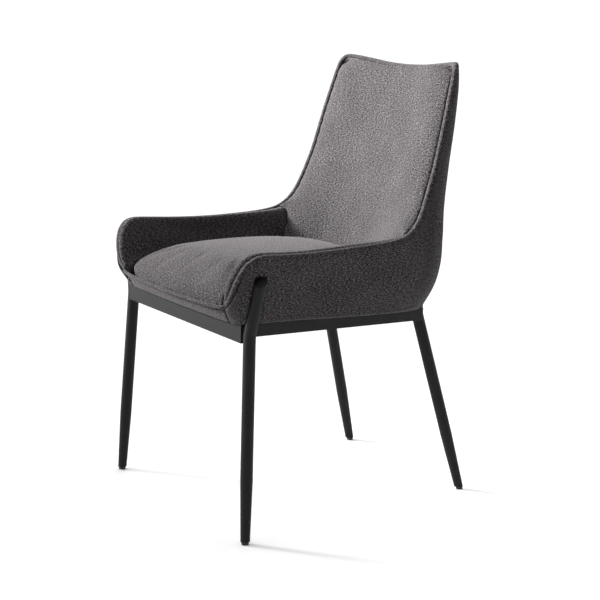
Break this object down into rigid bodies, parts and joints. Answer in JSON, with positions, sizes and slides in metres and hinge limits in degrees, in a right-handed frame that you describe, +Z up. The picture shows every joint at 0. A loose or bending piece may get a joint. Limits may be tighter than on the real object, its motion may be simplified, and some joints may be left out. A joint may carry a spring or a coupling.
{
  "type": "dining chair",
  "caption": "Upholstered dining chair with low wrap-round arms, tall back and splayed round steel legs.",
  "frame": {"origin": "on the floor under the middle of the chair's width and depth", "axes": "+Z up, the chair faces -Y, +X is to the right of someone who looks at it from the front"},
  "size_m": [0.5678, 0.5818, 0.885],
  "materials": {
    "powder_coat": "matt fine texture",
    "plastic": "matt",
    "zinc": "zinc plated",
    "plywood": "bare birch plywood",
    "foam": "open cell foam",
    "fabric": "soft woven chenille",
    "lining": "thin nonwoven"
  },
  "bodies": {
    "root": {"front_left_leg": "powder_coat", "front_right_leg": "powder_coat", "rear_left_leg": "powder_coat", "rear_right_leg": "powder_coat", "front_rail": "powder_coat", "rear_rail": "powder_coat", "left_side_rail": "powder_coat", "right_side_rail": "powder_coat", "seat_tabs": "powder_coat", "stub_caps": "powder_coat", "glides": "plastic", "frame_bolts": "zinc", "bolt_washers": "zinc", "tee_nuts": "zinc", "board_screws": "zinc", "staples": "zinc", "seat_board": "plywood", "back_board": "plywood", "left_side_board": "plywood", "right_side_board": "plywood", "corner_blocks": "plywood", "seat_foam": "foam", "back_foam": "foam", "left_arm_foam": "foam", "right_arm_foam": "foam", "seat_cover": "fabric", "front_boxing": "fabric", "front_welt": "fabric", "inner_back_cover": "fabric", "left_inner_arm_cover": "fabric", "right_inner_arm_cover": "fabric", "outer_back_cover": "fabric", "left_side_cover": "fabric", "right_side_cover": "fabric", "edge_band": "fabric", "dust_cover": "lining"}
  },
  "joints": []
}
